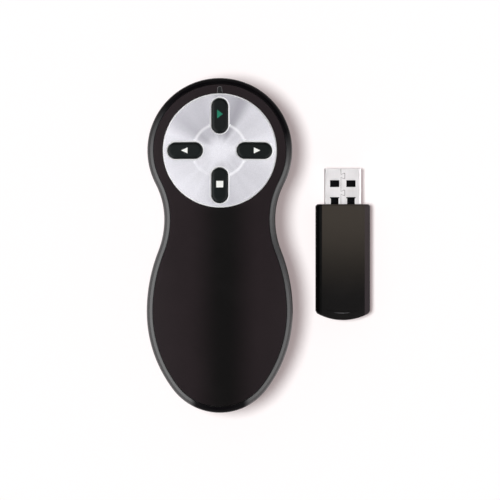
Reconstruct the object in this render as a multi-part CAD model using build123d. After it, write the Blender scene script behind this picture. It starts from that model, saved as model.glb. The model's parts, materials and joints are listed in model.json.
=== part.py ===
from build123d import *
from math import atan2, degrees, pi, sqrt, tan
import os

# Wireless presentation clicker with its plug-in USB receiver, in millimetres.
# The handset lies on its back with its head towards +Y and its buttons up (+Z). Its outline is an
# hourglass: a round head with a silver button plate, a waist for the fingers and an oval palm end.
# A lower case holds everything and a cover drops into its rim. The palm holds two AAA cells behind a
# sliding door and, above them, a bay that opens at the tail for the receiver. The receiver lies
# beside the handset on +X. The origin is on the resting plane, under the handset's middle.

# ---------------------------------------------------------------- driving dimensions
# Handset outline, seen from above
head_radius = 23.5
head_y = 30.9
waist_half_width = 18.0
waist_y = 8.5
waist_lower_radius = 27.7  # the waist's curve on the palm side
tail_half_width = 23.7
tail_y = -21.4  # where the palm is widest
tail_length = 32.8  # from there to the tail's tip
tail_end_radius = 19.0

# Handset heights
crown_height = 28.0
crown_length_radius = 420.0  # the top's curve along the handset
crown_width_radius = 110.0  # and across it
shoulder_radius = 2.2  # round between side wall and top
belly_radius = 10.0  # round between side wall and underside
groove_radius = 32.0  # finger rest across the underside
groove_depth = 3.2
groove_y = 19.0

# Walls and clearances
side_wall = 1.9
floor_wall = 1.9
cover_depth = 3.9  # from the top's middle line down to the cover's ceiling
seam_gap = 0.15  # round the cover
fit_gap = 0.12  # between pieces that are dropped in place
run_gap = 0.2  # between pieces that slide
skirt_wall = 1.3
skirt_depth = 6.4

# Button plate and buttons
plate_radius = 18.5
plate_depth = 3.0  # from the top's middle line down to the plate's seat
plate_ledge = 1.3  # width of the cover's seat under the plate
ledge_thickness = 1.3
plate_bevel = 0.4
button_circle = 11.3  # from the plate's middle to each button's middle
button_length = 11.4
button_width = 5.2
button_gap = 0.15
button_rise = 0.5  # how far the buttons stand above the plate
button_round = 1.0
button_travel = 0.5
flange_thickness = 0.8
flange_width = 6.8
flange_length = 10.4
stem_side = 3.4

# Indicator lens
lens_width = 1.5
lens_tip_y = 51.6
lens_rise = 0.1

# Main board and what stands on it
board_top = 17.2
board_thickness = 1.2
board_radius = 18.6
board_neck_half_width = 10.5
switch_side = 6.2
switch_height = 3.4
plunger_side = 3.2
plunger_rise = 0.7
plunger_depth = 1.0  # how deep the plunger sits in its switch
led_size = (1.6, 1.2, 0.9)
led_y = 50.3
chip_bevel = 0.2
control_chip_size = (7.0, 5.0, 1.4)
control_chip_y = 11.0
radio_chip_size = (4.0, 4.0, 0.9)
radio_chip_x = 0.4
crystal_size = (3.2, 5.0, 1.2)
crystal_x = 7.2
antenna_size = (0.4, 11.0, 3.0)
antenna_edge_gap = 1.7  # from the edge of the board's neck
antenna_strip = 1.2  # width of its folded sheet

# Screws
screw_radius = 1.1
screw_length = 12.0
screw_head_radius = 2.1
screw_head_height = 1.6
screw_seat_z = 10.0  # depth of the counterbores in the underside
boss_radius = 3.3
cover_boss_radius = 2.4
front_boss = (12.7, 43.6)
back_boss = (16.6, -14.0)
board_screw_radius = 0.9
board_screw_length = 5.0  # of its hole
board_screw_tip_gap = 0.3
board_screw_head_radius = 1.8
board_screw_head_height = 1.1
board_post_radius = 2.4
board_post = (13.2, 22.5)

# Battery compartment, for two AAA cells side by side
cell_radius = 5.25
cell_length = 44.5
cell_nub_radius = 1.9
cell_nub_length = 0.8
cell_gap = 0.15
cell_spacing = 10.8
compartment_front_y = 4.0
contact_thickness = 0.4
contact_spring_length = 4.7
contact_spring_thickness = 0.3
contact_spring_height = 7.6
contact_spring_width = 5.0
contact_half_width = 4.2
contact_half_height = 4.5
bridge_below = 2.7  # from the cells' axis to the bridge's lower edge
bridge_above = 3.7
tab_half_width = 1.6
tab_root_above = 3.1  # from the cells' axis to where the tabs leave their plates
tab_rise = 0.8  # above the board
rib_width = 2.0
end_wall = 1.2

# Battery door
door_wall = 1.5
door_lip_z = 9.0  # how far the door's tail end climbs
door_gap = 0.15
tongue_reach = 0.95
tongue_low = 0.8
grip_count = 6
grip_pitch = 1.8
grip_width = 0.8
grip_length = 11.0
grip_depth = 0.35

# Receiver
receiver_x = 40.0
receiver_tail_y = -24.2
receiver_length = 37.7  # its body, without the plug
receiver_width = 17.8
receiver_height = 7.4
receiver_round = 2.2  # long edges
receiver_end_bevel = 0.6
receiver_tail_radius = 17.4
receiver_wall = 1.2
plug_width = 12.0
plug_height = 4.5
plug_exposed = 11.6
plug_inside = 6.0
plug_sheet = 0.3
plug_round = 0.6
window_width = 3.0
window_length = 2.2
window_spacing = 5.3
window_tip_gap = 3.8  # from the plug's tip to the front windows
back_window_tip_gap = 9.3
back_window_width = 2.5
insulator_gap = 0.02
tongue_thickness = 1.85
tongue_tip_gap = 0.4
pad_pitch = 2.3
pad_width = 1.1
pad_thickness = 0.15
receiver_board_thickness = 1.0
receiver_chip_size = (5.0, 5.0, 0.9)
receiver_crystal_size = (4.0, 2.5, 1.0)
receiver_parts_gap = 3.5  # from the plug to the crystal, and about that on to the chip

# Receiver bay in the palm
bay_gap = 0.25
bay_wall = 1.0
bay_floor_z = 13.3
dock_gap = 0.25  # between the docked plug's tip and the pocket's end
detect_travel = 1.2
detect_side = 1.6  # of the detect plunger
detect_depth = 1.9  # how deep it sits in its switch
detect_body = (6.0, 5.0, 3.4)
retainer_width = 3.0
retainer_length = 7.0  # of the bow
retainer_foot = 1.0
retainer_sheet = 0.25
retainer_dip = 0.5  # how far it reaches into the empty pocket

far = 80.0  # longer than anything here, for cutting tools

# ---------------------------------------------------------------- handset outline


def waist_radius_to(circle_radius, rise):
    """Radius of the waist's arc that touches the head's circle and is narrowest at the waist."""
    spare = circle_radius - waist_half_width
    return (waist_half_width**2 + rise**2 - circle_radius**2) / (2 * spare)


waist_upper_radius = waist_radius_to(head_radius, head_y - waist_y)
bulge = tail_half_width - waist_half_width
flank_radius = (bulge**2 + (waist_y - tail_y) ** 2) / (2 * bulge) - waist_lower_radius
end_drop = tail_length - tail_end_radius
side_radius = (tail_half_width**2 + end_drop**2 - tail_end_radius**2) / (
    2 * (tail_half_width - tail_end_radius)
)

head_centre = (0, head_y)
upper_waist_centre = (waist_half_width + waist_upper_radius, waist_y)
lower_waist_centre = (waist_half_width + waist_lower_radius, waist_y)
flank_centre = (tail_half_width - flank_radius, tail_y)
side_centre = (tail_half_width - side_radius, tail_y)
end_centre = (0, tail_y - end_drop)
tail_tip_y = tail_y - tail_length


def direction(start, end):
    return degrees(atan2(end[1] - start[1], end[0] - start[0]))


def outline(inset=0.0):
    """The handset's plan outline, moved inwards by inset: ten arcs, each tangent to the next."""
    head_turn = direction(head_centre, upper_waist_centre)
    flank_turn = direction(flank_centre, lower_waist_centre)
    end_turn = direction(side_centre, end_centre)
    arcs = [
        CenterArc(head_centre, head_radius - inset, head_turn, 180 - 2 * head_turn),
        CenterArc(end_centre, tail_end_radius - inset, 180 - end_turn, 180 + 2 * end_turn),
    ]
    for centre, radius, start, turn in (
        (upper_waist_centre, waist_upper_radius + inset, 180, head_turn),
        (lower_waist_centre, waist_lower_radius + inset, 180, flank_turn),
        (flank_centre, flank_radius - inset, 0, flank_turn),
        (side_centre, side_radius - inset, 0, end_turn),
    ):
        arcs.append(CenterArc(centre, radius, start, turn))
        arcs.append(CenterArc((-centre[0], centre[1]), radius, 180 - start, -turn))
    return make_face(arcs)


def outline_block(inset, bottom=0.0, top=far):
    return Pos(0, 0, bottom) * extrude(outline(inset), top - bottom)


def under_crown(drop=0.0):
    """All that lies under the top's doubly curved surface, moved down by drop: a piece of a wide
    ring that stands on edge below the handset."""
    ring = Torus(crown_length_radius - crown_width_radius, crown_width_radius - drop)
    return Pos(0, 0, crown_height - crown_length_radius) * Rot(0, 90, 0) * ring


def under_arch(drop):
    """All that lies under a surface that runs drop below the top's middle line, level across."""
    roll = Cylinder(crown_length_radius - drop, far)
    return Pos(0, 0, crown_height - crown_length_radius) * Rot(0, 90, 0) * roll


def arch_layer(upper, lower):
    return under_arch(upper) - under_arch(lower)


def arch_z(y, drop):
    """Height of that surface at a place along the handset."""
    radius = crown_length_radius - drop
    return crown_height - crown_length_radius + sqrt(radius**2 - y**2)


def crown_z(x, y):
    """Height of the top's surface at a point."""
    along = crown_length_radius - crown_width_radius + sqrt(crown_width_radius**2 - x**2)
    return crown_height - crown_length_radius + sqrt(along**2 - y**2)


def crown_normal(x, y):
    """Which way the top's surface faces at a point."""
    hub = Vector(0, 0, crown_height - crown_length_radius)
    arm = Vector(x, y, crown_z(x, y)) - hub
    spoke = Vector(0, arm.Y, arm.Z).normalized()
    return (arm - spoke * (crown_length_radius - crown_width_radius)).normalized()


def finger_groove(extra=0.0):
    axis_z = groove_depth - groove_radius
    return Pos(0, groove_y, axis_z) * Rot(0, 90, 0) * Cylinder(groove_radius + extra, far)


def bevel_legs(radius):
    """Legs of the three flats that stand in for a round: the middle one's and the outer ones'."""
    middle = radius * (2 - sqrt(2))
    return middle, radius * (1 - tan(pi / 16)) - middle


def envelope():
    """The handset's whole outer form."""
    block = outline_block(0) & under_crown()
    middle, outer = bevel_legs(belly_radius)
    block = chamfer(block.faces().sort_by(Axis.Z)[0].edges(), middle)
    edges = block.edges().filter_by_position(Axis.Z, -0.01, 0.01)
    edges += block.edges().filter_by_position(Axis.Z, middle - 0.01, middle + 0.01)
    block = chamfer(edges, outer)

    middle, outer = bevel_legs(shoulder_radius)
    block = chamfer(block.faces().sort_by(Axis.Z)[-1].edges(), middle)
    walls = block.faces().filter_by(GeomType.CYLINDER)
    edges = block.faces().sort_by(Axis.Z)[-1].edges()
    edges += [wall.edges().sort_by(Axis.Z)[-1] for wall in walls]
    return chamfer(edges, outer) - finger_groove()


def cavity(wall, floor):
    """The space inside the case: straight sides and a bevel along the belly's round."""
    block = outline_block(wall, floor)
    block = chamfer(block.faces().sort_by(Axis.Z)[0].edges(), belly_radius / 2)
    return block - finger_groove(floor)


def box(low, high):
    """A box from its lowest to its highest corner."""
    size = [h - l for l, h in zip(low, high)]
    middle = [(h + l) / 2 for l, h in zip(low, high)]
    return Pos(*middle) * Box(*size)


def post(x, y, radius, low, high):
    return Pos(x, y, (low + high) / 2) * Cylinder(radius, high - low)


def square_post(x, y, side, low, high):
    return Pos(x, y, (low + high) / 2) * Box(side, side, high - low)


def flatted_post(x, y, radius, low, high):
    """A post or hole with twelve flats, for screws and what holds them."""
    return Pos(x, y, low) * extrude(RegularPolygon(radius, 12), high - low)


def mirrored_pair(x, y):
    return [(-x, y), (x, y)]


# ---------------------------------------------------------------- places worked out from the sizes
shell = envelope()
cover_inset = side_wall + seam_gap
bosses = mirrored_pair(*front_boss) + mirrored_pair(*back_boss)
board_bottom = board_top - board_thickness
buttons = {
    "start": (0, head_y + button_circle, 90),
    "stop": (0, head_y - button_circle, 90),
    "back": (-button_circle, head_y, 0),
    "forward": (button_circle, head_y, 0),
}

cell_z = door_wall + cell_gap + cell_radius
compartment_ceiling = cell_z + cell_radius + cell_gap
compartment_length = cell_length + contact_spring_length + 2 * contact_thickness
compartment_back_y = compartment_front_y - compartment_length
door_half_width = cell_spacing / 2 + cell_radius + 0.2
opening_half_width = door_half_width + door_gap
rib_outer = opening_half_width + rib_width

bay_half_width = receiver_width / 2 + bay_gap
bay_height = receiver_height + 2 * bay_gap
bay_axis_z = bay_floor_z + bay_height / 2
dock_tip_y = tail_tip_y + receiver_length + plug_exposed
pocket_half_width = plug_width / 2 + bay_gap
pocket_height = plug_height + 2 * bay_gap
pocket_end_y = dock_tip_y + dock_gap
bay_step_y = tail_tip_y + receiver_length + dock_gap
pocket_ceiling = bay_axis_z + pocket_height / 2
retainer_y = (bay_step_y + pocket_end_y) / 2 + 0.5
board_back_y = pocket_end_y + bay_wall + bay_gap
detect_tip_y = dock_tip_y - detect_travel
detect_z = bay_axis_z + bay_gap + tongue_thickness / 2

# ---------------------------------------------------------------- housing


def make_bottom_housing():
    """The lower case: a tub whose rim is the handset's shoulder, with its ribs, posts and bosses."""
    tub = shell - cavity(side_wall, floor_wall) - make_door_clearance()
    inside = cavity(door_wall + door_gap, door_wall + door_gap)

    rib_end = compartment_front_y + end_wall
    rib_start = compartment_back_y - end_wall
    frame = box((-rib_outer, rib_start, 0), (rib_outer, rib_end, compartment_ceiling))
    side_ribs = frame - box((-opening_half_width, -far, -far), (opening_half_width, far, far))
    side_ribs -= make_door_clearance()
    end_walls = frame - box((-far, compartment_back_y, -far), (far, compartment_front_y, far))
    tub += side_ribs & shell
    tub += end_walls & inside

    for x, y in bosses:
        tub += flatted_post(x, y, boss_radius, 0, board_bottom) & shell
    for x, y in mirrored_pair(*board_post):
        tub += flatted_post(x, y, board_post_radius, groove_depth / 2, board_bottom) & shell

    for x, y in bosses:
        tub -= flatted_post(x, y, screw_head_radius + run_gap, -1, screw_seat_z)
        tub -= flatted_post(x, y, screw_radius + fit_gap, -1, far)
    for x, y in mirrored_pair(*board_post):
        tub -= flatted_post(x, y, board_screw_radius, board_top - board_screw_length, far)
    mouth = bay_half_width + door_gap / 2
    tub -= box(
        (-mouth, tail_tip_y - 1, bay_floor_z - door_gap / 2),
        (mouth, end_centre[1] - bay_half_width, bay_floor_z + bay_height + door_gap / 2),
    )
    return tub


def make_door_clearance():
    """What is cut from the lower case for the door: its opening and the grooves for its tongues."""
    clearance = box(
        (-opening_half_width, -far, -1),
        (opening_half_width, compartment_front_y, door_lip_z + door_gap),
    )
    groove_reach = door_half_width + tongue_reach + door_gap
    clearance += box(
        (-groove_reach, -far, tongue_low - door_gap),
        (groove_reach, compartment_front_y + door_gap, door_wall + door_gap),
    )
    return clearance


def make_battery_door():
    """The door: part of the underside's skin and its tail end, with a tongue along each side."""
    skin = shell - cavity(door_wall, door_wall)
    front_y = compartment_front_y - door_gap
    plate = skin & box((-door_half_width, -far, -1), (door_half_width, front_y, door_lip_z))
    reach = door_half_width + tongue_reach
    tongues = box(
        (-reach, compartment_back_y, tongue_low),
        (reach, front_y, door_wall),
    )
    door = plate + (tongues & shell)
    for i in range(grip_count):
        y = compartment_back_y + 5.0 + i * grip_pitch
        door -= box(
            (-grip_length / 2, y, -1),
            (grip_length / 2, y + grip_width, grip_depth),
        )
    return door


def make_top_cover():
    """The cover: a crowned plate that fills the case's rim, with a skirt, a seat for the button
    plate and four bosses that stand on the case's bosses."""
    cover = shell & outline_block(cover_inset, board_top / 2)
    cover -= post(0, head_y, plate_radius + fit_gap, 0, far)
    cover -= outline_block(cover_inset + skirt_wall) & under_arch(cover_depth)
    cover -= under_arch(skirt_depth)

    seat = post(0, head_y, plate_radius + plate_ledge, 0, far)
    seat -= post(0, head_y, plate_radius - plate_ledge, -1, far + 1)
    cover += seat & arch_layer(plate_depth, plate_depth + ledge_thickness)
    boss_top = (plate_depth + cover_depth) / 2
    for x, y in bosses:
        cover += flatted_post(x, y, cover_boss_radius, board_bottom, arch_z(y, boss_top))
    cover -= lens_shape(fit_gap)
    tail_half = bay_half_width + bay_wall + fit_gap
    cover -= box(
        (-tail_half, -far, 0),
        (tail_half, end_centre[1], bay_floor_z + bay_height + bay_wall + fit_gap),
    )
    for x, y in bosses:
        screw_top = screw_seat_z + screw_length + fit_gap
        cover -= flatted_post(x, y, screw_radius, 0, screw_top)
    return cover


def lens_shape(gap):
    """The indicator window's outline as a column: it narrows to a round front end."""
    half = lens_width / 2 + gap
    tip = half * 0.8
    tip_y = lens_tip_y + gap - tip
    back_y = head_y + plate_radius + fit_gap - gap / 2
    flat = make_face(
        [
            Line((-half, back_y), (half, back_y)),
            Line((half, back_y), (tip, tip_y)),
            ThreePointArc((tip, tip_y), (0, tip_y + tip), (-tip, tip_y)),
            Line((-tip, tip_y), (-half, back_y)),
        ]
    )
    return Pos(0, 0, -far) * extrude(flat, 2 * far)


def make_indicator_lens():
    """The light pipe: flush in the cover, and down to just above its lamp."""
    low = board_top + led_size[2] + run_gap
    column = lens_shape(0) & box((-far, -far, low), (far, far, far))
    return column & under_crown(-lens_rise)


# ---------------------------------------------------------------- buttons


def pill(length, width, low, high):
    """An upright block with a slot's outline, its length along X."""
    return Pos(0, 0, low) * extrude(SlotOverall(length, width), high - low)


def button_frame(name):
    """The plane that touches the top at a button's middle, its X along the button."""
    x, y, turn = buttons[name]
    facing = crown_normal(x, y)
    along = Vector(1, 0, 0).rotate(Axis.Z, turn)
    return Plane((x, y, crown_z(x, y)), x_dir=along - facing * along.dot(facing), z_dir=facing)


def make_button_plate():
    """The round silver plate: crowned like the cover, with four wells that face straight out."""
    plate = post(0, head_y, plate_radius, 0, far) & under_crown()
    gaps = 2 * button_gap
    for name in buttons:
        well = pill(button_length + gaps, button_width + gaps, -2 * plate_depth, plate_depth)
        plate -= button_frame(name) * well
    plate = chamfer(plate.faces().sort_by(Axis.Z)[-1].edges(), plate_bevel)
    return plate - under_arch(plate_depth)


def make_button(name):
    """A cap that stands square to the plate. A flange holds it under the plate, and a stem reaches
    down to its switch."""
    middle, outer = bevel_legs(button_round)
    cap = pill(button_length, button_width, -2 * plate_depth, button_rise)
    cap = chamfer(cap.faces().sort_by(Axis.Z)[-1].edges(), middle)
    edges = cap.edges().filter_by_position(Axis.Z, button_rise - 0.01, button_rise + 0.01)
    shoulder_z = button_rise - middle
    edges += cap.edges().filter_by_position(Axis.Z, shoulder_z - 0.01, shoulder_z + 0.01)
    cap = button_frame(name) * chamfer(edges, outer)

    flange_drop = plate_depth + button_gap
    root_drop = flange_drop + flange_thickness / 2
    cap -= under_arch(root_drop)
    x, y, turn = buttons[name]
    flange = Pos(x, y, 0) * Rot(0, 0, turn) * Box(flange_length, flange_width, far)
    cap += flange & arch_layer(flange_drop, flange_drop + flange_thickness)
    stem_low = board_top + switch_height + plunger_rise
    return cap + square_post(x, y, stem_side, stem_low, arch_z(y, root_drop))


def make_switch(name):
    x, y, _ = buttons[name]
    top = board_top + switch_height
    low = top - plunger_depth - button_travel - fit_gap
    body = square_post(x, y, switch_side, board_top, top)
    return body - square_post(x, y, plunger_side + 2 * fit_gap, low, far)


def make_plunger(name):
    x, y, _ = buttons[name]
    top = board_top + switch_height
    return square_post(x, y, plunger_side, top - plunger_depth, top + plunger_rise)


# ---------------------------------------------------------------- main board


def contact_tab_x(side):
    return side * cell_spacing / 2


def make_main_board():
    """A round board under the buttons with a neck that reaches back over the battery contacts."""
    head = post(0, head_y, board_radius, board_bottom, board_top)
    neck = box(
        (-board_neck_half_width, board_back_y, board_bottom),
        (board_neck_half_width, head_y, board_top),
    )
    lamp_tab = box((-2.5, head_y, board_bottom), (2.5, lens_tip_y, board_top))
    board = head + neck + lamp_tab
    for x, y in mirrored_pair(*front_boss):
        board -= flatted_post(x, y, cover_boss_radius + fit_gap, 0, far)
    for x, y in mirrored_pair(*board_post):
        board -= flatted_post(x, y, board_screw_radius + fit_gap, 0, far)
    slot_half = tab_half_width + fit_gap
    for side in (-1, 1):
        x = contact_tab_x(side)
        board -= box(
            (x - slot_half, compartment_front_y - contact_thickness - fit_gap, 0),
            (x + slot_half, compartment_front_y + fit_gap, far),
        )
    return board


def make_indicator_lamp():
    length, width, height = led_size
    return box(
        (-length / 2, led_y - width / 2, board_top),
        (length / 2, led_y + width / 2, board_top + height),
    )


def board_block(x, y, size, low=board_top):
    """A soldered part of the given size, its middle at x and y, standing on a board."""
    return Pos(x, y, low + size[2] / 2) * Box(*size)


def bevelled_block(x, y, size):
    block = board_block(x, y, size)
    return chamfer(block.faces().sort_by(Axis.Z)[-1].edges(), chip_bevel)


def make_control_chip():
    return bevelled_block(0, control_chip_y, control_chip_size)


def make_radio_chip():
    return bevelled_block(radio_chip_x, head_y, radio_chip_size)


def make_crystal():
    return bevelled_block(crystal_x, control_chip_y, crystal_size)


def make_antenna():
    """A folded strip aerial on three legs."""
    thickness, length, height = antenna_size
    x = antenna_edge_gap - board_neck_half_width + thickness / 2
    y = compartment_front_y + length / 2
    strip = board_block(x, y, antenna_size)
    between_legs = (length - 3 * antenna_strip) / 2
    opening = (thickness * 2, between_legs, height - antenna_strip)
    for side in (-1, 1):
        strip -= board_block(x, y + side * (antenna_strip + between_legs) / 2, opening)
    return strip


def make_board_screws():
    screws = []
    for x, y in mirrored_pair(*board_post):
        shank_low = board_top - board_screw_length + board_screw_tip_gap
        shank = flatted_post(x, y, board_screw_radius, shank_low, board_top)
        head_top = board_top + board_screw_head_height
        screws.append(shank + flatted_post(x, y, board_screw_head_radius, board_top, head_top))
    return Compound(screws)


def make_housing_screws():
    """Four long screws from the underside that hold case and cover together."""
    screws = []
    for x, y in bosses:
        low = screw_seat_z - screw_head_height
        head = flatted_post(x, y, screw_head_radius, low, screw_seat_z)
        shank = flatted_post(x, y, screw_radius, screw_seat_z, screw_seat_z + screw_length)
        screws.append(head + shank)
    return Compound(screws)


# ---------------------------------------------------------------- batteries and their contacts


def make_battery(side, facing):
    """An AAA cell: facing 1 has its nub towards the head, -1 towards the tail."""
    x = side * cell_spacing / 2
    nub_y = (
        compartment_front_y - contact_thickness
        if facing > 0
        else compartment_back_y + contact_thickness
    )
    can_length = cell_length - cell_nub_length
    lying = Pos(x, nub_y, cell_z) * Rot(90 * facing, 0, 0)
    nub = Pos(0, 0, cell_nub_length / 2) * Cylinder(cell_nub_radius, cell_nub_length)
    can = Pos(0, 0, cell_nub_length + can_length / 2) * Cylinder(cell_radius, can_length)
    return lying * (nub + can)


def contact_spring(side, wall_y, facing):
    """A bowed leaf that presses a cell lengthwise: its ends are on the contact plate."""
    x = side * cell_spacing / 2
    half = contact_spring_height / 2
    depth = contact_spring_length
    thick = contact_spring_thickness
    outer = ThreePointArc((-half, 0), (0, depth), (half, 0))
    inner = ThreePointArc((-half + thick, 0), (0, depth - thick), (half - thick, 0))
    feet = [Line((-half, 0), (-half + thick, 0)), Line((half - thick, 0), (half, 0))]
    bow = extrude(make_face([outer, inner] + feet), contact_spring_width)
    plane = Plane(
        origin=(x - contact_spring_width / 2, wall_y, cell_z),
        x_dir=(0, 0, 1),
        z_dir=(1, 0, 0),
    )
    if facing * plane.y_dir.Y < 0:
        bow = bow.mirror(Plane.XZ)
    return plane * bow


def front_plate(side):
    """One cell's front contact: a plate on the end wall and the strip that rises from it through
    the board's slot."""
    x = contact_tab_x(side)
    low_y = compartment_front_y - contact_thickness
    plate = box(
        (x - contact_half_width, low_y, cell_z - contact_half_height),
        (x + contact_half_width, compartment_front_y, cell_z + contact_half_height),
    )
    return plate + box(
        (x - tab_half_width, low_y, cell_z + tab_root_above),
        (x + tab_half_width, compartment_front_y, board_top + tab_rise),
    )


def make_front_positive_contact():
    return front_plate(-1)


def make_front_negative_contact():
    return front_plate(1) + contact_spring(1, compartment_front_y - contact_thickness, -1)


def make_back_bridge_contact():
    """Joins the two cells at the tail end: flat for one cell's nub, bowed for the other's base."""
    reach = cell_spacing / 2 + contact_half_width
    spring_y = compartment_back_y + contact_thickness
    plate = box(
        (-reach, compartment_back_y, cell_z - bridge_below),
        (reach, spring_y, cell_z + bridge_above),
    )
    return plate + contact_spring(-1, spring_y, 1)


# ---------------------------------------------------------------- receiver bay


def make_receiver_bay():
    """A sleeve over the batteries, open at the tail: a wide part for the receiver's body and a
    narrow pocket for its plug. Its base plate is the battery compartment's ceiling."""
    base = box(
        (-rib_outer, compartment_back_y - end_wall, compartment_ceiling),
        (rib_outer, compartment_front_y - contact_thickness - fit_gap, bay_floor_z),
    )
    outer_half = bay_half_width + bay_wall
    wide = box(
        (-outer_half, -far, compartment_ceiling),
        (outer_half, bay_step_y + bay_wall, bay_floor_z + bay_height + bay_wall),
    )
    pocket_half = pocket_half_width + bay_wall
    narrow = box(
        (-pocket_half, bay_step_y, bay_axis_z - pocket_height / 2 - bay_wall),
        (pocket_half, pocket_end_y + bay_wall, bay_axis_z + pocket_height / 2 + bay_wall),
    )
    narrow_foot = box(
        (-pocket_half, bay_step_y, compartment_ceiling),
        (pocket_half, pocket_end_y + bay_wall, bay_axis_z),
    )
    sleeve = base + wide + narrow + narrow_foot
    sleeve -= box(
        (-bay_half_width, -far, bay_floor_z),
        (bay_half_width, bay_step_y, bay_floor_z + bay_height),
    )
    sleeve -= box(
        (-pocket_half_width, -far, bay_axis_z - pocket_height / 2),
        (pocket_half_width, pocket_end_y, bay_axis_z + pocket_height / 2),
    )
    bore_side = detect_side + 2 * fit_gap
    sleeve -= Pos(0, pocket_end_y, detect_z) * Box(bore_side, 4 * bay_wall, bore_side)
    slot_half = retainer_width / 2 + fit_gap
    sleeve -= box(
        (-slot_half, retainer_y - retainer_length / 2 - 0.05, bay_axis_z),
        (slot_half, retainer_y + retainer_length / 2 + 0.05, far),
    )
    return sleeve & outline_block(side_wall + fit_gap)


def make_retaining_spring():
    """A bowed leaf over the plug's pocket that grips the stored plug, with a foot at each end."""
    half = retainer_length / 2
    toe = half + retainer_foot
    low = pocket_ceiling + bay_wall
    high = low + retainer_sheet
    dip = bay_wall + retainer_dip
    under = ThreePointArc((-half, low), (0, low - dip), (half, low))
    upper = ThreePointArc((-half, high), (0, high - dip), (half, high))
    feet = [
        Polyline((-half, low), (-toe, low), (-toe, high), (-half, high)),
        Polyline((half, low), (toe, low), (toe, high), (half, high)),
    ]
    edges = [under, upper] + [edge for foot in feet for edge in foot.edges()]
    plane = Plane(origin=(-retainer_width / 2, retainer_y, 0), x_dir=(0, 1, 0), z_dir=(1, 0, 0))
    return plane * extrude(make_face(edges), retainer_width)


def make_detect_switch():
    """The switch that turns the handset off while its receiver is stored."""
    body = board_block(0, board_back_y + detect_body[1] / 2, detect_body)
    bore_side = detect_side + 2 * fit_gap
    depth = detect_depth + detect_travel + fit_gap
    return body - Pos(0, board_back_y, detect_z) * Box(bore_side, 2 * depth, bore_side)


def make_detect_plunger():
    back_y = board_back_y + detect_depth
    rod = Pos(0, (back_y + detect_tip_y) / 2, detect_z)
    rod = rod * Box(detect_side, back_y - detect_tip_y, detect_side)
    return chamfer(rod.faces().sort_by(Axis.Y)[0].edges(), detect_side / 4)


# ---------------------------------------------------------------- receiver


receiver_front_y = receiver_tail_y + receiver_length
receiver_mid_z = receiver_height / 2
plug_tip_y = receiver_front_y + plug_exposed
plug_back_y = receiver_front_y - plug_inside
plug_low_z = receiver_mid_z - plug_height / 2
plug_high_z = receiver_mid_z + plug_height / 2
tongue_under_z = plug_high_z - plug_sheet - insulator_gap - tongue_thickness
tail_arc_y = receiver_tail_y + receiver_tail_radius


def receiver_plan(inset):
    """The receiver's outline moved inwards by inset: straight sides, and an arc for its tail end."""
    half = receiver_width / 2 - inset
    radius = receiver_tail_radius - inset
    side_y = tail_arc_y - sqrt(radius**2 - half**2)
    front_y = receiver_front_y - inset
    tail = ThreePointArc((-half, side_y), (0, tail_arc_y - radius), (half, side_y))
    sides = Polyline((half, side_y), (half, front_y), (-half, front_y), (-half, side_y))
    return make_face([tail] + list(sides.edges()))


def receiver_body():
    """The receiver's form: a bar with round long edges and bevelled ends."""
    section = RectangleRounded(receiver_width, receiver_height, receiver_round)
    bar = extrude(Plane.XZ * Pos(0, receiver_mid_z) * section, far, both=True)
    body = bar & Pos(0, 0, -1) * extrude(receiver_plan(0), receiver_height + 2)
    ends = body.faces().sort_by(Axis.Y)
    return chamfer(list(ends[-1].edges()) + list(ends[0].edges()), receiver_end_bevel)


def nail_groove():
    """A crescent in the receiver's top, to pull it out by."""
    half, depth = 5.6, 0.4
    outer_radius = receiver_tail_radius - 2.2
    end_y = tail_arc_y - sqrt(outer_radius**2 - half**2)
    low_y = tail_arc_y - outer_radius
    outer = ThreePointArc((-half, end_y), (0, low_y), (half, end_y))
    inner = ThreePointArc((-half, end_y), (0, low_y + 0.8), (half, end_y))
    return Pos(0, 0, receiver_height - depth) * extrude(make_face([outer, inner]), 2)


def receiver_shell(low, high):
    """One half of the receiver's case."""
    hollow = extrude(receiver_plan(receiver_wall), receiver_height - 2 * receiver_wall)
    hollow = Pos(0, 0, receiver_wall) * hollow
    half = (receiver_body() - hollow) & box((-far, -far, low), (far, far, high))
    return half - box(
        (-plug_width / 2, 0, plug_low_z), (plug_width / 2, far, plug_high_z)
    )


def make_receiver_top():
    return receiver_shell(receiver_mid_z, far) - nail_groove()


def make_receiver_bottom():
    tray = receiver_shell(-far, receiver_mid_z)
    rib_top = receiver_mid_z - receiver_board_thickness / 2
    rib_half = receiver_width / 2 - receiver_wall - 0.5
    for y in (plug_back_y - 4.0, receiver_tail_y + 9.0):
        tray += box((-rib_half, y, receiver_wall / 2), (rib_half, y + 1.0, rib_top))
    return tray


def window_columns(width, low_y, high_y):
    """Two window cutters side by side, through both faces of the plug."""
    cutters = []
    for side in (-1, 1):
        x = side * window_spacing / 2
        cutters.append(box((x - width / 2, low_y, -far), (x + width / 2, high_y, far)))
    return Compound(cutters)


def make_usb_shell():
    """The plug's sheet-metal sleeve with its two pairs of latch windows."""
    length = plug_exposed + plug_inside
    section = RectangleRounded(plug_width, plug_height, plug_round)
    bore = RectangleRounded(
        plug_width - 2 * plug_sheet, plug_height - 2 * plug_sheet, plug_round - plug_sheet
    )
    tube = extrude(Plane.XZ * (section - bore), -length)
    tube = Pos(0, plug_back_y, receiver_mid_z) * tube
    front_y = plug_tip_y - window_tip_gap
    tube -= window_columns(window_width, front_y - window_length, front_y)
    back_y = plug_tip_y - back_window_tip_gap
    tube -= window_columns(window_width, back_y - 0.4, back_y)
    tube -= window_columns(back_window_width, back_y - 3.0, back_y)
    return tube


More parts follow.
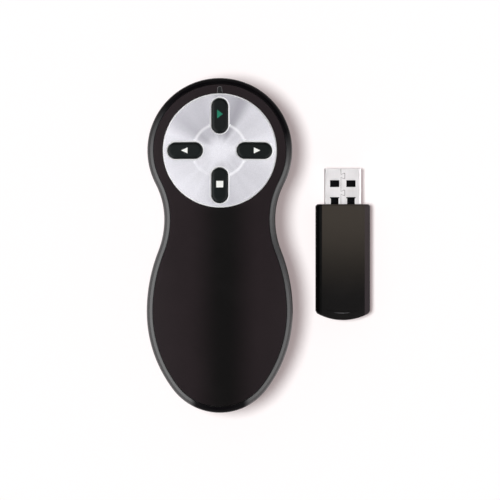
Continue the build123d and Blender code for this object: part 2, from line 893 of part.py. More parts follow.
def make_usb_tongue():
    """The plug's insulator: a block that fills its back and a tongue under the top windows."""
    shrink = 2 * (plug_sheet + insulator_gap)
    section = RectangleRounded(
        plug_width - shrink, plug_height - shrink, plug_round - plug_sheet - insulator_gap
    )
    tip_y = plug_tip_y - tongue_tip_gap
    bar = Pos(0, plug_back_y, receiver_mid_z) * extrude(Plane.XZ * section, plug_back_y - tip_y)
    return bar - box(
        (-plug_width, receiver_front_y - 1.0, 0), (plug_width, far, tongue_under_z)
    )


def make_usb_contacts():
    """Four gilt strips under the tongue; the outer two reach further."""
    top = tongue_under_z
    strips = []
    for i in range(4):
        x = (i - 1.5) * pad_pitch
        reach = 1.4 if i in (0, 3) else 2.4
        strips.append(
            box(
                (x - pad_width / 2, receiver_front_y - 1.0, top - pad_thickness),
                (x + pad_width / 2, plug_tip_y - reach, top),
            )
        )
    return Compound(strips)


def make_receiver_board():
    half = receiver_width / 2 - receiver_wall - 0.4
    low = receiver_mid_z - receiver_board_thickness / 2
    return box(
        (-half, receiver_tail_y + 4.5, low),
        (half, plug_back_y, low + receiver_board_thickness),
    )


def on_receiver_board(size, front_y):
    """A part on the receiver's board whose front is at front_y."""
    low = receiver_mid_z + receiver_board_thickness / 2
    return board_block(0, front_y - size[1] / 2, size, low)


def make_receiver_crystal():
    return on_receiver_board(receiver_crystal_size, plug_back_y - receiver_parts_gap)


def make_receiver_chip():
    crystal_back_y = plug_back_y - receiver_parts_gap - receiver_crystal_size[1]
    return on_receiver_board(receiver_chip_size, crystal_back_y - receiver_parts_gap)


# ---------------------------------------------------------------- export
def main():
    handset = {
        "bottom_housing": make_bottom_housing(),
        "battery_door": make_battery_door(),
        "top_cover": make_top_cover(),
        "indicator_lens": make_indicator_lens(),
        "button_plate": make_button_plate(),
        "main_board": make_main_board(),
        "indicator_lamp": make_indicator_lamp(),
        "control_chip": make_control_chip(),
        "radio_chip": make_radio_chip(),
        "crystal": make_crystal(),
        "antenna": make_antenna(),
        "board_screws": make_board_screws(),
        "housing_screws": make_housing_screws(),
        "battery_left": make_battery(-1, 1),
        "battery_right": make_battery(1, -1),
        "front_positive_contact": make_front_positive_contact(),
        "front_negative_contact": make_front_negative_contact(),
        "back_bridge_contact": make_back_bridge_contact(),
        "receiver_bay": make_receiver_bay(),
        "retaining_spring": make_retaining_spring(),
        "detect_switch": make_detect_switch(),
        "detect_plunger": make_detect_plunger(),
    }
    for name in buttons:
        handset[f"{name}_button"] = make_button(name)
        handset[f"{name}_plunger"] = make_plunger(name)
        handset[f"{name}_switch"] = make_switch(name)
    receiver = {
        "receiver_top": make_receiver_top(),
        "receiver_bottom": make_receiver_bottom(),
        "usb_shell": make_usb_shell(),
        "usb_tongue": make_usb_tongue(),
        "usb_contacts": make_usb_contacts(),
        "receiver_board": make_receiver_board(),
        "receiver_chip": make_receiver_chip(),
        "receiver_crystal": make_receiver_crystal(),
    }
    os.makedirs("parts", exist_ok=True)
    for name, shape in handset.items():
        export_step(shape, f"parts/{name}.step")
    for name, shape in receiver.items():
        export_step(Pos(receiver_x, 0, 0) * shape, f"parts/{name}.step")


main()
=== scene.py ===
"""The looks of a wireless presentation clicker and the plug-in receiver that belongs to it."""

import json
import math

import bmesh
import bpy
from mathutils import Matrix, Vector

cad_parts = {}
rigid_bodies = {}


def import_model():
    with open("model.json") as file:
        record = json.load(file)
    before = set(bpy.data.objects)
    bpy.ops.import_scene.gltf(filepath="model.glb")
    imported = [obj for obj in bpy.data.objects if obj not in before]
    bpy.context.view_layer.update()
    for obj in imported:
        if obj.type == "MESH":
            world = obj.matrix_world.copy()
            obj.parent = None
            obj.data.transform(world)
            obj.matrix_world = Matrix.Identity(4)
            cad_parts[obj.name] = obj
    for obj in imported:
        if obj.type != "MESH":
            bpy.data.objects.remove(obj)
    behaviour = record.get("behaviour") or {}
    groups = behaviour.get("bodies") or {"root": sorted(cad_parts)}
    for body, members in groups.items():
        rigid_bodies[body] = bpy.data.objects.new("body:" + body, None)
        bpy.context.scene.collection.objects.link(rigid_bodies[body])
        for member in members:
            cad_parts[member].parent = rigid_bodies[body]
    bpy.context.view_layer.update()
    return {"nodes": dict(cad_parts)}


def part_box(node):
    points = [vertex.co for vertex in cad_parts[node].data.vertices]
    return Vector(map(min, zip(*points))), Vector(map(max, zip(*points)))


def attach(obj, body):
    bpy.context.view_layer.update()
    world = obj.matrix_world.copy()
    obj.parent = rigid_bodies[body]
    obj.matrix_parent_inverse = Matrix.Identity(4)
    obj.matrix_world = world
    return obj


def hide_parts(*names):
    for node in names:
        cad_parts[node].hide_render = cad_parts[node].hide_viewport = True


for leftover in list(bpy.data.objects):
    bpy.data.objects.remove(leftover)

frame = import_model()
nodes = frame["nodes"]
mm = 0.001


# ---------------------------------------------------------------------------------------------
# Bottom housing: the lower half of the case, moulded in gloss black ABS. Its polished shoulder
# frames the cover, and its ribs and posts hold the board, the cells and the receiver bay.


def shade(red, green, blue):
    """A colour given by its screen values, 0 to 255, as the linear colour that a shader takes."""
    def linear(value):
        value /= 255
        return value / 12.92 if value <= 0.04045 else ((value + 0.055) / 1.055) ** 2.4
    return (linear(red), linear(green), linear(blue), 1.0)


def scaled(color, factor, lift=0.0):
    """A colour made darker or lighter by a factor, then lifted all over."""
    return [channel * factor + lift for channel in color[:3]] + [1.0]


def feed(tree, socket, value):
    """Sets a socket to a plain value, or wires it to another node's output."""
    if isinstance(value, bpy.types.NodeSocket):
        tree.links.new(value, socket)
    else:
        socket.default_value = value


def add(tree, kind, inputs=None, **settings):
    """A shader node with its settings and its inputs, each by its name or its number."""
    node = tree.nodes.new("ShaderNode" + kind)
    for name, value in settings.items():
        setattr(node, name, value)
    for name, value in (inputs or {}).items():
        feed(tree, node.inputs[name], value)
    return node


def maths(tree, operation, first, second=0.0):
    return add(tree, "Math", {0: first, 1: second}, operation=operation).outputs[0]


def vector_maths(tree, operation, first, second=None):
    """Sums with vectors. A dot product or a length gives a plain value, the others a vector."""
    inputs = {0: first} if second is None else {0: first, 1: second}
    outputs = add(tree, "VectorMath", inputs, operation=operation).outputs
    return outputs["Value" if operation in ("DOT_PRODUCT", "LENGTH") else "Vector"]


def axes_of(tree, vector):
    """A vector's X, Y and Z."""
    return add(tree, "SeparateXYZ", {0: vector}).outputs


def fade(tree, value, low, high, to_low=0.0, to_high=1.0, kind="SMOOTHSTEP"):
    """Carries a value from one range to another, held at both ends."""
    limits = {"From Min": low, "From Max": high, "To Min": to_low, "To Max": to_high}
    return add(tree, "MapRange", {"Value": value, **limits}, interpolation_type=kind).outputs[0]


def tinted(tree, mask, under, over):
    """One colour over another, where the mask says."""
    return add(tree, "Mix", {0: mask, 6: under, 7: over}, data_type="RGBA").outputs[2]


def place_in_mm(tree, stretch=(1, 1, 1)):
    """Where a point of the piece is, in millimetres."""
    spot = add(tree, "TexCoord").outputs["Object"]
    return vector_maths(tree, "MULTIPLY", spot, [axis / mm for axis in stretch])


def clouds(tree, place, per_mm, detail=2.0):
    inputs = {"Vector": place, "Scale": per_mm, "Detail": detail}
    return add(tree, "TexNoise", inputs).outputs["Fac"]


def effect(name, controls, results):
    """An empty shader effect: what it takes, with starting values, and what it gives."""
    group = bpy.data.node_groups.new(name, "ShaderNodeTree")
    for label, value in controls.items():
        socket = group.interface.new_socket(label, in_out="INPUT", socket_type="NodeSocketFloat")
        socket.default_value = value
    for label, kind in results.items():
        group.interface.new_socket(label, in_out="OUTPUT", socket_type="NodeSocket" + kind)
    taken = group.nodes.new("NodeGroupInput").outputs
    given = group.nodes.new("NodeGroupOutput").inputs
    return group, taken, given


def apply_effect(tree, group, **controls):
    """Places an effect in a finish with its own values, and returns what it gives."""
    node = tree.nodes.new("ShaderNodeGroup")
    node.node_tree = group
    for label, value in controls.items():
        node.inputs[label.replace("_", " ")].default_value = value
    return node.outputs


# fine texture that the mould's spark-eroded steel leaves on plastic
moulded_grain, taken, given = effect("moulded_grain", {"Grain mm": 0.2}, {"Height": "Float"})
per_mm = maths(moulded_grain, "DIVIDE", 1.0, taken["Grain mm"])
feed(moulded_grain, given["Height"], clouds(moulded_grain, place_in_mm(moulded_grain), per_mm))

# soft patches where fingers have polished or greased the surface
patch_edge, patch_middle = 0.4, 0.55
handling, taken, given = effect("handling_smudges", {"Patch mm": 9.0}, {"Smudge": "Float"})
per_mm = maths(handling, "DIVIDE", 1.0, taken["Patch mm"])
patch = clouds(handling, place_in_mm(handling), per_mm, detail=4.0)
feed(handling, given["Smudge"], fade(handling, patch, patch_edge, patch_middle))

# edges that are eased as real ones are, and rubbed a little brighter. How far an eased edge leans
# from the true face is taken as a cosine.
least_lean, full_lean = 0.99, 0.86
rubs_per_mm = 1.6
edge_wear, taken, given = effect(
    "edge_wear", {"Edge mm": 0.15}, {"Worn": "Float", "Eased": "Vector"}
)
radius = maths(edge_wear, "MULTIPLY", taken["Edge mm"], mm)
eased = add(edge_wear, "Bevel", {"Radius": radius}, samples=6).outputs["Normal"]
true_normal = add(edge_wear, "NewGeometry").outputs["Normal"]
lean = vector_maths(edge_wear, "DOT_PRODUCT", eased, true_normal)
at_edge = fade(edge_wear, lean, least_lean, full_lean)
rubs = clouds(edge_wear, place_in_mm(edge_wear), rubs_per_mm, detail=4.0)
broken = fade(edge_wear, rubs, 0.35, 0.65)
feed(edge_wear, given["Worn"], maths(edge_wear, "MULTIPLY", at_edge, broken))
feed(edge_wear, given["Eased"], eased)

# a thin film of dust, with specks in it, on what faces up
specks_per_mm = 0.9
speck_edge, speck_middle = 0.07, 0.03
film_patches_per_mm = 0.12
thickest_film = 0.35
dusting, taken, given = effect("settled_dust", {"Amount": 0.1}, {"Dust": "Float"})
facing_up = axes_of(dusting, add(dusting, "NewGeometry").outputs["Normal"])["Z"]
upward = fade(dusting, facing_up, 0.3, 1.0)
specks = {"Vector": place_in_mm(dusting), "Scale": specks_per_mm}
speck = add(dusting, "TexVoronoi", specks).outputs["Distance"]
speck = fade(dusting, speck, speck_edge, speck_middle)
film = clouds(dusting, place_in_mm(dusting), film_patches_per_mm, detail=5.0)
film = fade(dusting, film, 0.3, 0.9, 0.0, thickest_film)
film = maths(dusting, "MULTIPLY", maths(dusting, "ADD", film, speck), upward)
feed(dusting, given["Dust"], maths(dusting, "MULTIPLY", film, taken["Amount"]))


def new_finish(name, **same_all_over):
    """A finish with its node tree and its shader, whose own sockets hold the given values."""
    finish = bpy.data.materials.new(name)
    finish.use_nodes = True
    tree = finish.node_tree
    shader = tree.nodes["Principled BSDF"]
    for socket, value in same_all_over.items():
        shader.inputs[socket.replace("_", " ")].default_value = value
    return finish, tree, shader


dust_gray = shade(150, 146, 140)
dust_roughness = 0.3
pigment_clouds_per_mm = 0.08
thin_pigment, thick_pigment = 1.2, 0.85
rub_strength, rub_gain, rub_lift = 0.6, 1.3, 0.004


def moulded_plastic(
    name, color, roughness, grain_mm, grain_depth, edge_mm, patch_mm, smudge, dust,
    **same_all_over,
):
    """A moulded plastic: cloudy colour, grain, handled patches, eased and rubbed edges, dust."""
    finish, tree, shader = new_finish(name, **same_all_over)
    grain = apply_effect(tree, moulded_grain, Grain_mm=grain_mm)
    smudged = apply_effect(tree, handling, Patch_mm=patch_mm)["Smudge"]
    edges = apply_effect(tree, edge_wear, Edge_mm=edge_mm)
    dusted = apply_effect(tree, dusting, Amount=dust)["Dust"]
    cloudy = clouds(tree, place_in_mm(tree), pigment_clouds_per_mm, detail=3.0)
    body = tinted(tree, cloudy, scaled(color, thick_pigment), scaled(color, thin_pigment))
    wear_and_painted_shade = maths(tree, "MULTIPLY", edges["Worn"], rub_strength)
    body = tinted(tree, wear_and_painted_shade, body, scaled(color, rub_gain, rub_lift))
    feed(tree, shader.inputs["Base Color"], tinted(tree, dusted, body, dust_gray))
    matted = maths(tree, "MULTIPLY", smudged, smudge)
    matted = maths(tree, "ADD", matted, maths(tree, "MULTIPLY", dusted, dust_roughness))
    feed(tree, shader.inputs["Roughness"], maths(tree, "ADD", matted, roughness))
    bump = {"Height": grain["Height"], "Distance": grain_depth * mm, "Normal": edges["Eased"]}
    feed(tree, shader.inputs["Normal"], add(tree, "Bump", bump).outputs["Normal"])
    return finish


def dress(node_name, finish):
    """Gives a CAD node its finish."""
    nodes[node_name].data.materials[0] = finish


gloss_black = moulded_plastic(
    "gloss_black", shade(7, 6, 8), 0.3,
    grain_mm=0.6, grain_depth=0.001, edge_mm=0.3, patch_mm=11.0, smudge=0.05, dust=0.02,
    Specular_IOR_Level=0.03, Coat_Roughness=0.36,
)

# the shoulder is polished along the sides, and left as moulded round the head's top and the tail
disc_low, disc_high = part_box("button_plate")
disc_middle = (disc_low + disc_high) / 2
shell_low, shell_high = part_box("bottom_housing")
full_polish = 0.95
# where each stretch of polish begins and is full, in degrees to the right of straight ahead, and
# its share of the whole; then, in mm, where the tail and the shoulder begin and count in full
polish_stretches = [(74, 104, 1.0), (-50, -84, 0.65), (-84, -115, 0.3)]
tail_starts, tail_full = shell_low.y / mm + 9.0, shell_low.y / mm + 6.0
tail_side, tail_flat = 10.0, 7.5
shoulder_starts, shoulder_full = shell_high.z / mm - 7.0, shell_high.z / mm - 5.5
tree = gloss_black.node_tree
spot = axes_of(tree, place_in_mm(tree))
ahead = maths(tree, "SUBTRACT", spot["Y"], disc_middle.y / mm)
turn = maths(tree, "ARCTAN2", spot["X"], ahead)
polished = 0.0
for start, stop, share in polish_stretches:
    rising = fade(tree, turn, math.radians(start), math.radians(stop), 0.0, share, kind="LINEAR")
    polished = maths(tree, "ADD", polished, rising)
tail_end = fade(tree, spot["Y"], tail_starts, tail_full)
tail_middle = fade(tree, maths(tree, "ABSOLUTE", spot["X"]), tail_side, tail_flat)
tail = maths(tree, "MULTIPLY", tail_end, tail_middle)
as_moulded = maths(tree, "MAXIMUM", maths(tree, "SUBTRACT", 1.0, polished), tail)
on_shoulder = fade(tree, spot["Z"], shoulder_starts, shoulder_full)
as_moulded = maths(tree, "MULTIPLY", as_moulded, on_shoulder)
polish = fade(tree, as_moulded, 0.0, 1.0, full_polish, 0.0, kind="LINEAR")
feed(tree, tree.nodes["Principled BSDF"].inputs["Coat Weight"], polish)
dress("bottom_housing", gloss_black)


# ---------------------------------------------------------------------------------------------
# Battery door: satin black ABS, slid in from the tail on a tongue along each side. It has moulded
# grip grooves, and a sunk arrowhead shows which way it comes off.

satin_black = moulded_plastic(
    "satin_black", shade(19, 18, 20), 0.42,
    grain_mm=0.12, grain_depth=0.008, edge_mm=0.12, patch_mm=8.0, smudge=-0.08, dust=0.02,
    Specular_IOR_Level=0.25,
)


def new_object(name, data):
    """An object in the scene that shows the given mesh, curve, light or camera."""
    made = bpy.data.objects.new(name, data)
    bpy.context.scene.collection.objects.link(made)
    return made


def as_object(name, build):
    """Turns a build into an object in the scene."""
    bmesh.ops.recalc_face_normals(build, faces=build.faces[:])
    mesh = bpy.data.meshes.new(name)
    build.to_mesh(mesh)
    build.free()
    return new_object(name, mesh)


def finished(piece, finishes, body):
    """Gives a piece its finishes and the body it rides on."""
    piece.data.materials.clear()
    for finish in finishes:
        piece.data.materials.append(finish)
    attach(piece, body)


def carve(piece, cutter):
    """Cuts one object out of another and removes the cutter."""
    cut = piece.modifiers.new("cut", "BOOLEAN")
    cut.object, cut.operation, cut.solver = cutter, "DIFFERENCE", "EXACT"
    bpy.context.view_layer.update()
    carved = piece.evaluated_get(bpy.context.evaluated_depsgraph_get())
    whole = piece.data
    mesh = bpy.data.meshes.new_from_object(carved)
    piece.modifiers.clear()
    piece.data = mesh
    mesh.name = piece.name
    bpy.data.meshes.remove(whole)
    bpy.data.objects.remove(cutter)


def skin(build, outlines):
    """Adds a closed solid through outlines that all have the same number of corners."""
    rings = [[build.verts.new(corner) for corner in outline] for outline in outlines]
    sides = [rings[0][::-1], rings[-1]]
    for under, over in zip(rings, rings[1:]):
        for index in range(len(under)):
            after = (index + 1) % len(under)
            sides.append([under[index], under[after], over[after], over[index]])
    return [build.faces.new(side) for side in sides]


door_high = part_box("battery_door")[1]
arrow_depth = 0.35 * mm
arrow_half = 4 * mm
arrow_tip_y = door_high.y - 16 * mm
arrow_base_y = arrow_tip_y + 6 * mm
arrow = [(0, arrow_tip_y), (arrow_half, arrow_base_y), (-arrow_half, arrow_base_y)]
door = new_object("carved_door", nodes["battery_door"].data.copy())
build = bmesh.new()
skin(build, [[(x, y, z) for x, y in arrow] for z in (-mm, arrow_depth)])
carve(door, as_object("arrow_cutter", build))
finished(door, [satin_black], "door")
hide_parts("battery_door")
dress("battery_door", satin_black)


# ---------------------------------------------------------------------------------------------
# Top cover: black ABS sprayed with a soft-touch coat, which is matt and a little rubbery. It
# fills the shoulder's frame with a fine gap and is held by the four housing screws from below.

# the colour given here is lighter than the coat's own black: a painted reflection of the soft
# light that its curved top catches
soft_touch = moulded_plastic(
    "soft_touch_black", shade(29, 23, 25), 0.4,
    grain_mm=0.14, grain_depth=0.005, edge_mm=0.2, patch_mm=16.0, smudge=-0.06, dust=0.004,
    Specular_IOR_Level=0.07,
)


def tint_over(finish, mask, color):
    """Lays a colour over a finish's own, where the mask says."""
    tree = finish.node_tree
    socket = tree.nodes["Principled BSDF"].inputs["Base Color"]
    feed(tree, socket, tinted(tree, mask, socket.links[0].from_socket, color))


# painted shade and reflection: the cover's colour is lighter than the coat's own black, standing
# in for the soft reflections along its curved sides and round the head, and the middle of the palm
# rest is painted darkest
palm_middle_x = 1.5
palm_edge, palm_core = 12.0, 1.0
tree = soft_touch.node_tree
spot = axes_of(tree, place_in_mm(tree))
off_middle = maths(tree, "ABSOLUTE", maths(tree, "SUBTRACT", spot["X"], palm_middle_x))
behind_disc = fade(tree, spot["Y"], disc_low.y / mm + 4.0, disc_low.y / mm - 1.0)
# this mask is where the palm's middle is painted darker, as painted shade
wear_and_painted_shade = maths(tree, "MULTIPLY", fade(tree, off_middle, palm_edge, palm_core), behind_disc)
tint_over(soft_touch, wear_and_painted_shade, shade(5, 4, 4))
dress("top_cover", soft_touch)


# ---------------------------------------------------------------------------------------------
# Indicator window: a smoked clear plug pressed into the cover ahead of the silver disc, with a
# thin moulded bead round it, over a white lamp on the board that is dark at rest.

smoked, tree, shader = new_finish(
    "smoked_window", Transmission_Weight=0.12, Specular_IOR_Level=0.06, IOR=1.49
)
wisps_per_mm = 0.7
wisps = clouds(tree, place_in_mm(tree), wisps_per_mm, detail=3.0)
feed(tree, shader.inputs["Base Color"], tinted(tree, wisps, shade(3, 3, 4), shade(9, 9, 10)))
feed(tree, shader.inputs["Roughness"], fade(tree, wisps, 0.2, 0.8, 0.25, 0.35))
feed(tree, shader.inputs["Normal"], apply_effect(tree, edge_wear, Edge_mm=0.1)["Eased"])
dress("indicator_lens", smoked)

# the bead's light gray is a painted highlight, standing in for the light that the window's edge
# catches
bead_highlight_gray = moulded_plastic(
    "bead_highlight_gray", shade(96, 94, 96), 0.4,
    grain_mm=0.1, grain_depth=0.003, edge_mm=0.04, patch_mm=1.0, smudge=0.1, dust=0.0,
)


def land_on(carrier, x, y):
    """Where a look straight down at x and y meets a node's surface, and which way that faces."""
    over_everything = 0.1
    start = Vector((x, y, over_everything))
    _, point, normal, _ = carrier.ray_cast(start, Vector((0, 0, -1)))
    return point, normal


def laid_wire(name, points, radius, finish, body):
    """A round wire or bead through the given points."""
    curve = bpy.data.curves.new(name, "CURVE")
    curve.dimensions = "3D"
    curve.bevel_depth = radius
    curve.bevel_resolution = 3
    curve.use_fill_caps = True
    spline = curve.splines.new("POLY")
    spline.points.add(len(points) - 1)
    for knot, point in zip(spline.points, points):
        knot.co = (*point, 1.0)
    finished(new_object(name, curve), [finish], body)


# the bead follows the window's straight sides and its round front, which is a little narrower. It
# lies on the cover, whose height is read just outside the bead, clear of the window's hole.
bead_radius = 0.09 * mm
bead_offset = 0.06 * mm
front_share = 0.8
front_steps = 12
look_aside, look_ahead = 0.12 * mm, 0.15 * mm
window_low, window_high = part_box("indicator_lens")
bead_half = (window_high.x - window_low.x) / 2 + bead_offset
front_radius = bead_half * front_share
front_y = window_high.y + bead_offset - front_radius
back_y = window_low.y + 0.1 * mm
bead_path = [(-bead_half, back_y)]
for step in range(front_steps + 1):
    turn = math.pi * (1 - step / front_steps)
    bead_path.append((front_radius * math.cos(turn), front_y + front_radius * math.sin(turn)))
bead_path.append((bead_half, back_y))
bead_points = []
for x, y in bead_path:
    beside = (x * (1 + look_aside / bead_half), y + (look_ahead if y > front_y else 0))
    bead_points.append((x, y, land_on(nodes["top_cover"], *beside)[0].z))
laid_wire("window_bead", bead_points, bead_radius, bead_highlight_gray, "handset")

lamp_white = moulded_plastic(
    "lamp_white", shade(225, 222, 205), 0.35,
    grain_mm=0.3, grain_depth=0.002, edge_mm=0.05, patch_mm=2.0, smudge=0.05, dust=0.0,
)
dress("indicator_lamp", lamp_white)


# ---------------------------------------------------------------------------------------------
# Button plate: a disc of ABS in metallic silver lacquer, with a fine raised crease round its
# middle and a fine bevel round its rim and each button's hole. The crease and the bevels are
# painted bright as painted highlights, and the lacquer carries a painted fan of reflection and
# shade. It drops into the cover's seat.

crease_radius = 8.6
crease_width = 1.3


def level_ray(degrees):
    """The level direction so many degrees anticlockwise from +X, seen from above."""
    return Vector((math.cos(math.radians(degrees)), math.sin(math.radians(degrees)), 0))


silver_lacquer, tree, shader = new_finish(
    "silver_lacquer", Coat_Weight=0.25, Coat_Roughness=0.12
)
to_middle = [-disc_middle.x / mm, -disc_middle.y / mm, 0]
from_middle = vector_maths(tree, "ADD", place_in_mm(tree, stretch=(1, 1, 0)), to_middle)
reach = vector_maths(tree, "LENGTH", from_middle)
outward = vector_maths(tree, "NORMALIZE", from_middle)
flakes_per_mm = 9.0
flakes = add(tree, "TexVoronoi", {"Vector": place_in_mm(tree), "Scale": flakes_per_mm})
flake = axes_of(tree, flakes.outputs["Color"])["X"]
lacquer = tinted(tree, flake, shade(200, 199, 205), shade(221, 220, 226))

# painted reflection and shade: the lacquer's fan, a cloudy tone with dark rays added, stands in
# for how the disc reflects the room; the heading, the spread to each side and the strength of its
# dark rays
painted_shade_rays = [
    (48, 38, 0.27), (76, 26, 0.6), (122, 44, 0.56), (166, 40, 0.2), (205, 40, 0.18),
    (268, 30, 0.26), (315, 46, 0.2),
]
painted_fan_starts, painted_fan_full = 1.5, 6.0
painted_fan = fade(tree, clouds(tree, outward, 2.2, detail=2.0), 0.35, 0.65, 0.0, 0.12)
for heading, spread, strength in painted_shade_rays:
    along = vector_maths(tree, "DOT_PRODUCT", outward, level_ray(heading))
    painted_shade_ray = fade(tree, along, math.cos(math.radians(spread)), 1.0, 0.0, strength)
    painted_fan = maths(tree, "ADD", painted_fan, painted_shade_ray)
painted_fan = maths(tree, "MULTIPLY", painted_fan, fade(tree, reach, painted_fan_starts, painted_fan_full))
lacquer = tinted(tree, painted_fan, lacquer, shade(134, 132, 140))

# painted highlight: the crease is painted bright where it catches the light, least at its lower
# left
crease_highlight_strength, least_highlight_strength = 0.45, 0.2
off_crease = maths(tree, "ABSOLUTE", maths(tree, "SUBTRACT", reach, crease_radius))
crease_highlight = fade(tree, off_crease, crease_width * 0.6, 0.0, 0.0, crease_highlight_strength)
lower_left = vector_maths(tree, "DOT_PRODUCT", outward, (-0.7, -0.7, 0))
crease_highlight = maths(tree, "MULTIPLY", crease_highlight, fade(tree, lower_left, 0.5, 0.9, 1.0, least_highlight_strength))
lacquer = tinted(tree, crease_highlight, lacquer, shade(248, 247, 250))

# painted highlight: the fine bevels of the rim and the holes are painted bright and not metallic,
# whichever way they face
facing_up = axes_of(tree, add(tree, "NewGeometry").outputs["Normal"])["Z"]
bevel_highlight = fade(tree, facing_up, 0.975, 0.93)
lacquer = tinted(tree, bevel_highlight, lacquer, shade(252, 252, 253))
feed(tree, shader.inputs["Base Color"], lacquer)
feed(tree, shader.inputs["Metallic"], fade(tree, bevel_highlight, 0.0, 1.0, 0.4, 0.0))

smudged = apply_effect(tree, handling, Patch_mm=7.0)["Smudge"]
edges = apply_effect(tree, edge_wear, Edge_mm=0.12)
clean_roughness, smudge_roughness, flake_roughness = 0.3, 0.05, 0.05
flake_rise = 0.0012 * mm
dulled = maths(tree, "MULTIPLY", smudged, smudge_roughness)
dulled = maths(tree, "ADD", clean_roughness, dulled)
dulled = maths(tree, "ADD", dulled, maths(tree, "MULTIPLY", flake, flake_roughness))
feed(tree, shader.inputs["Roughness"], dulled)
sparkle = {"Height": flake, "Distance": flake_rise, "Normal": edges["Eased"]}
feed(tree, shader.inputs["Normal"], add(tree, "Bump", sparkle).outputs["Normal"])
dress("button_plate", silver_lacquer)

# the crease runs in four arcs, one between each two buttons, and each arc swells from its ends.
# Its section is given in shares of its width and its rise, with its foot sunk in the disc.
crease_rise = 0.035 * mm
crease_start, crease_stop = 20, 70
arc_steps = 18
swell_steps = 4
section_steps = 8
crease_section = [(-0.5, -1.0)]
for step in range(section_steps + 1):
    across = step / section_steps - 0.5
    crease_section.append((across, 0.5 + 0.5 * math.cos(2 * math.pi * across)))
crease_section.append((0.5, -1.0))
build = bmesh.new()
for quarter in range(4):
    outlines = []
    for step in range(arc_steps + 1):
        heading = crease_start + (crease_stop - crease_start) * step / arc_steps + 90 * quarter
        ray = level_ray(heading)
        middle = disc_middle + ray * crease_radius * mm
        top = land_on(nodes["button_plate"], middle.x, middle.y)[0].z
        from_end = min(step, arc_steps - step, swell_steps)
        rise = crease_rise * math.sin(math.pi * (0.5 + from_end) / (2 * swell_steps + 1))
        outline = []
        for across, up in crease_section:
            spot = middle + ray * across * crease_width * mm
            outline.append((spot.x, spot.y, top + up * rise))
        outlines.append(outline)
    skin(build, outlines)
finished(as_object("plate_crease", build), [silver_lacquer], "handset")


# ---------------------------------------------------------------------------------------------
# Buttons: four pills of hard black plastic with a satin face, each on its own switch plunger.
# Their marks are pad-printed: a green arrowhead to start, a square to stop, white arrowheads.

button_black = moulded_plastic(
    "button_black", shade(9, 13, 13), 0.36,
    grain_mm=0.1, grain_depth=0.003, edge_mm=0.5, patch_mm=3.5, smudge=0.06, dust=0.004,
    Specular_IOR_Level=0.09,
)
plunger_white = moulded_plastic(
    "plunger_white", shade(214, 210, 198), 0.45,
    grain_mm=0.2, grain_depth=0.006, edge_mm=0.1, patch_mm=2.0, smudge=0.06, dust=0.02,
)
green_ink = moulded_plastic(
    "green_ink", shade(34, 112, 88), 0.5,
    grain_mm=0.08, grain_depth=0.006, edge_mm=0.03, patch_mm=1.0, smudge=0.1, dust=0.0,
    Specular_IOR_Level=0.2,
)
white_ink = moulded_plastic(
    "white_ink", shade(232, 232, 228), 0.5,
    grain_mm=0.08, grain_depth=0.006, edge_mm=0.03, patch_mm=1.0, smudge=0.1, dust=0.0,
)
ink_lift = 0.03 * mm

# each mark's outline in mm about its own middle, and how far that lies from the switch's middle
arrowhead = [(-0.85, -1.4), (1.0, 0.0), (-0.85, 1.4)]
small_arrowhead = [(-1.0, -0.98), (1.1, 0.0), (-1.0, 0.98)]
square = [(-1.12, -1.05), (1.12, -1.05), (1.12, 1.05), (-1.12, 1.05)]
marks = {
    "start": (arrowhead, (0.0, 0.5), green_ink),
    "stop": (square, (0.0, 0.35), white_ink),
    "back": ([(-x, y) for x, y in small_arrowhead[::-1]], (-0.15, 0.0), white_ink),
    "forward": (small_arrowhead, (0.75, 0.0), white_ink),
}


def printed_mark(name, outline, carrier, finish, body):
    """Ink on a cap: the outline in x and y is dropped on the cap's face and given a thickness."""
    landed = [land_on(carrier, x, y) for x, y in outline]
    build = bmesh.new()
    lifts = (-ink_lift, ink_lift)
    skin(build, [[point + normal * lift for point, normal in landed] for lift in lifts])
    finished(as_object(name, build), [finish], body)


for button, (outline, (off_x, off_y), ink) in marks.items():
    dress(button + "_button", button_black)
    dress(button + "_plunger", plunger_white)
    low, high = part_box(button + "_plunger")
    mark_x = (low.x + high.x) / 2 + off_x * mm
    mark_y = (low.y + high.y) / 2 + off_y * mm
    placed = [(mark_x + x * mm, mark_y + y * mm) for x, y in outline]
    printed_mark(button + "_mark", placed, nodes[button + "_button"], ink, button + "_key")


# ---------------------------------------------------------------------------------------------
# Main board: glass-epoxy with green solder mask, screwed to two posts of the housing. It
# carries the button switches, the lamp, two chips, the crystal and the antenna.

circuit_green, tree, shader = new_finish("circuit_board", Coat_Weight=0.3, Coat_Roughness=0.2)
threads_per_mm, islands_per_mm = 1.2, 0.55
track_rise = 0.03 * mm
place = place_in_mm(tree)
threads = {"Vector": place, "Scale": threads_per_mm, "Distortion": 2.0}
weave = add(tree, "TexWave", threads).outputs["Fac"]
islands = {"Vector": place, "Scale": islands_per_mm, "Randomness": 0.6}
tracks = add(tree, "TexVoronoi", islands, distance="CHEBYCHEV", feature="F1").outputs["Distance"]
tracks = fade(tree, tracks, 0.34, 0.38)
mask = tinted(tree, weave, shade(16, 62, 36), shade(20, 74, 44))
mask = tinted(tree, tracks, mask, shade(26, 88, 52))
feed(tree, shader.inputs["Base Color"], mask)
feed(tree, shader.inputs["Roughness"], fade(tree, weave, 0.0, 1.0, 0.28, 0.36))
raised = {"Height": tracks, "Distance": track_rise}
feed(tree, shader.inputs["Normal"], add(tree, "Bump", raised).outputs["Normal"])
dress("main_board", circuit_green)

chip_black = moulded_plastic(
    "chip_black", shade(20, 20, 21), 0.5,
    grain_mm=0.08, grain_depth=0.008, edge_mm=0.06, patch_mm=3.0, smudge=0.05, dust=0.02,
    Specular_IOR_Level=0.2,
)
for part in ("control_chip", "radio_chip", "detect_switch"):
    dress(part, chip_black)
for button in marks:
    dress(button + "_switch", chip_black)

